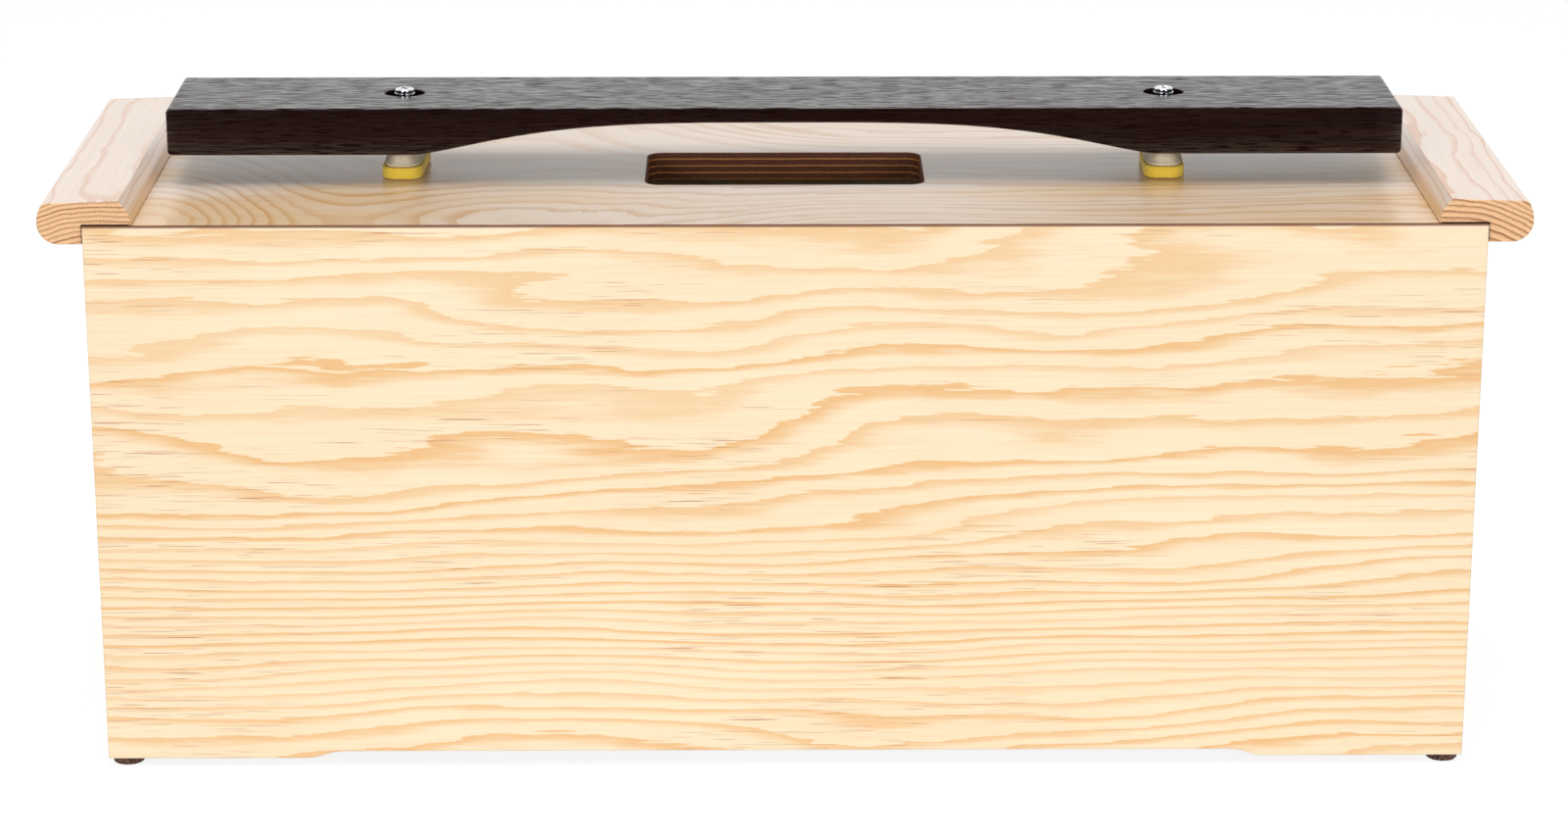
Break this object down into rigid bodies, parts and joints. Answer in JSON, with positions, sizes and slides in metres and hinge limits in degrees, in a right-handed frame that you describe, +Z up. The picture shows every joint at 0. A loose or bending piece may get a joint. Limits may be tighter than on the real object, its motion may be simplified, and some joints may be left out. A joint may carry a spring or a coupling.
{
  "type": "resonator bar",
  "caption": "Tuned dark wooden bar with an undercut arch on padded screw posts over a slotted plywood sound box with rounded end rails.",
  "frame": {"origin": "on the surface that the felt feet stand on, under the middle of the box", "axes": "+X along the bar to the right as seen from the front, +Y from the front panel to the back panel, +Z up"},
  "size_m": [0.607, 0.193, 0.2695],
  "materials": {
    "face_plywood": "pine veneered plywood under satin clear lacquer",
    "lacquered_plywood": "pine veneered plywood under semi-gloss clear lacquer",
    "inner_plywood": "raw plywood",
    "rail_pine": "solid pine under satin clear lacquer",
    "raw_pine": "raw sawn pine",
    "beech": "turned beech",
    "dark_hardwood": "dense dark hardwood, polished satin",
    "yellow_felt": "pressed wool felt",
    "cream_cushion": "soft cream felt",
    "brown_felt": "pressed brown felt",
    "black_rubber": "matte",
    "steel": "zinc plated",
    "chrome": "polished chrome plate"
  },
  "bodies": {
    "resonator_box": {"front_panel": "face_plywood", "back_panel": "face_plywood", "left_side_panel": "face_plywood", "right_side_panel": "face_plywood", "top_panel": "lacquered_plywood", "bottom_panel": "inner_plywood", "corner_block_front_left": "raw_pine", "foot_front_left": "brown_felt", "corner_block_front_right": "raw_pine", "foot_front_right": "brown_felt", "corner_block_back_left": "raw_pine", "foot_back_left": "brown_felt", "corner_block_back_right": "raw_pine", "foot_back_right": "brown_felt", "left_rail": "rail_pine", "left_rail_dowel_1": "beech", "left_rail_dowel_2": "beech", "left_rail_dowel_3": "beech", "left_base_pad": "yellow_felt", "left_cushion": "cream_cushion", "left_sleeve": "black_rubber", "left_washer": "steel", "left_bar_screw": "chrome", "left_screw_block": "raw_pine", "right_rail": "rail_pine", "right_rail_dowel_1": "beech", "right_rail_dowel_2": "beech", "right_rail_dowel_3": "beech", "right_base_pad": "yellow_felt", "right_cushion": "cream_cushion", "right_sleeve": "black_rubber", "right_washer": "steel", "right_bar_screw": "chrome", "right_screw_block": "raw_pine"},
    "bar": {"tone_bar": "dark_hardwood"}
  },
  "joints": [
    {"name": "bar_lift", "type": "slide", "parent": "resonator_box", "child": "bar", "axis": [0, 0, 1], "range_m": [0, 0.06]}
  ]
}
